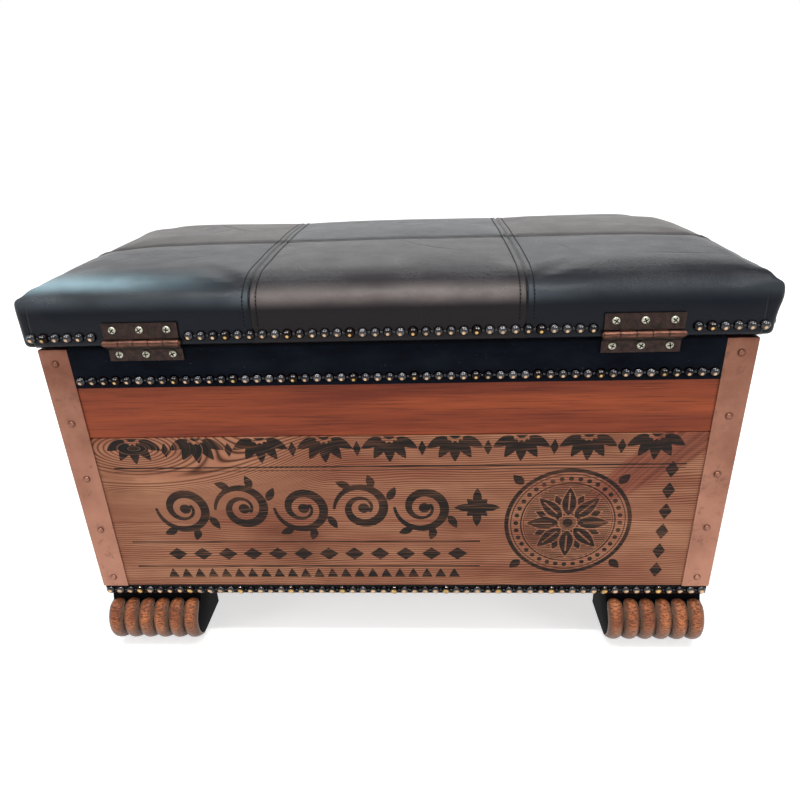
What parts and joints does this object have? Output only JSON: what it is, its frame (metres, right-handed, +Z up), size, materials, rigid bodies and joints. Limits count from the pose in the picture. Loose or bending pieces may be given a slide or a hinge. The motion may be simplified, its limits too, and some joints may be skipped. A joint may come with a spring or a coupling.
{
  "type": "storage chest",
  "caption": "Upholstered storage chest: wooden crate box on four ribbed feet, copper corner straps, nail trim, and a padded leather lid on two back hinges.",
  "frame": {"origin": "on the floor under the middle of the box", "axes": "+X along the length, towards the right of someone facing the front; +Y towards the back, where the hinges are; +Z up"},
  "size_m": [0.726, 0.372, 0.4476],
  "materials": {
    "crate_wood": "reclaimed pine, thin dull varnish, weathered grain",
    "rail_wood": "red-brown varnished pine, satin",
    "base_wood": "dark stained pine edge",
    "carved_wood": "carved hardwood, brown stain worn on the crests",
    "glide_rubber": "matt black",
    "black_cloth": "short-pile black cloth",
    "copper": "satin sheet copper with a mottled tone",
    "nail_metal": "dark gunmetal domes with brass showing through",
    "hinge_bronze": "dark antique bronze, worn to copper on the barrel",
    "screw_zinc": "pale zinc, slightly dulled",
    "plywood": "plain plywood",
    "foam": "upholstery foam",
    "leather": "navy, brown-black and grey-brown hide patches, soft sheen"
  },
  "bodies": {
    "box": {"band_nails_back": "nail_metal", "band_nails_front": "nail_metal", "band_nails_left": "nail_metal", "band_nails_right": "nail_metal", "base_board": "base_wood", "base_nails_back": "nail_metal", "base_nails_front": "nail_metal", "base_nails_left": "nail_metal", "base_nails_right": "nail_metal", "box_lining": "black_cloth", "corner_strap_back_left": "copper", "corner_strap_back_right": "copper", "corner_strap_front_left": "copper", "corner_strap_front_right": "copper", "crate_board_back": "crate_wood", "crate_board_front": "crate_wood", "crate_board_left": "crate_wood", "crate_board_right": "crate_wood", "foot_back_left": "carved_wood", "foot_back_right": "carved_wood", "foot_front_left": "carved_wood", "foot_front_right": "carved_wood", "glide_back_left": "glide_rubber", "glide_back_right": "glide_rubber", "glide_front_left": "glide_rubber", "glide_front_right": "glide_rubber", "hinge_left_box_leaf": "hinge_bronze", "hinge_left_box_screw_1": "screw_zinc", "hinge_left_box_screw_2": "screw_zinc", "hinge_left_box_screw_3": "screw_zinc", "hinge_left_pin": "hinge_bronze", "hinge_right_box_leaf": "hinge_bronze", "hinge_right_box_screw_1": "screw_zinc", "hinge_right_box_screw_2": "screw_zinc", "hinge_right_box_screw_3": "screw_zinc", "hinge_right_pin": "hinge_bronze", "top_rail_back": "rail_wood", "top_rail_front": "rail_wood", "top_rail_left": "rail_wood", "top_rail_right": "rail_wood"},
    "lid": {"foam_pad": "foam", "hinge_left_lid_leaf": "hinge_bronze", "hinge_left_lid_screw_1": "screw_zinc", "hinge_left_lid_screw_2": "screw_zinc", "hinge_left_lid_screw_3": "screw_zinc", "hinge_right_lid_leaf": "hinge_bronze", "hinge_right_lid_screw_1": "screw_zinc", "hinge_right_lid_screw_2": "screw_zinc", "hinge_right_lid_screw_3": "screw_zinc", "leather_cover": "leather", "lid_board": "plywood", "lid_lining": "black_cloth", "lid_nails_back_left": "nail_metal", "lid_nails_back_middle": "nail_metal", "lid_nails_back_right": "nail_metal", "lid_nails_front": "nail_metal", "lid_nails_left": "nail_metal", "lid_nails_right": "nail_metal"}
  },
  "joints": [
    {"name": "lid_hinge", "type": "hinge", "parent": "box", "child": "lid", "pos_m": [0, 0.17545, 0.3855], "axis": [-1, 0, 0], "range_deg": [0, 110]}
  ]
}
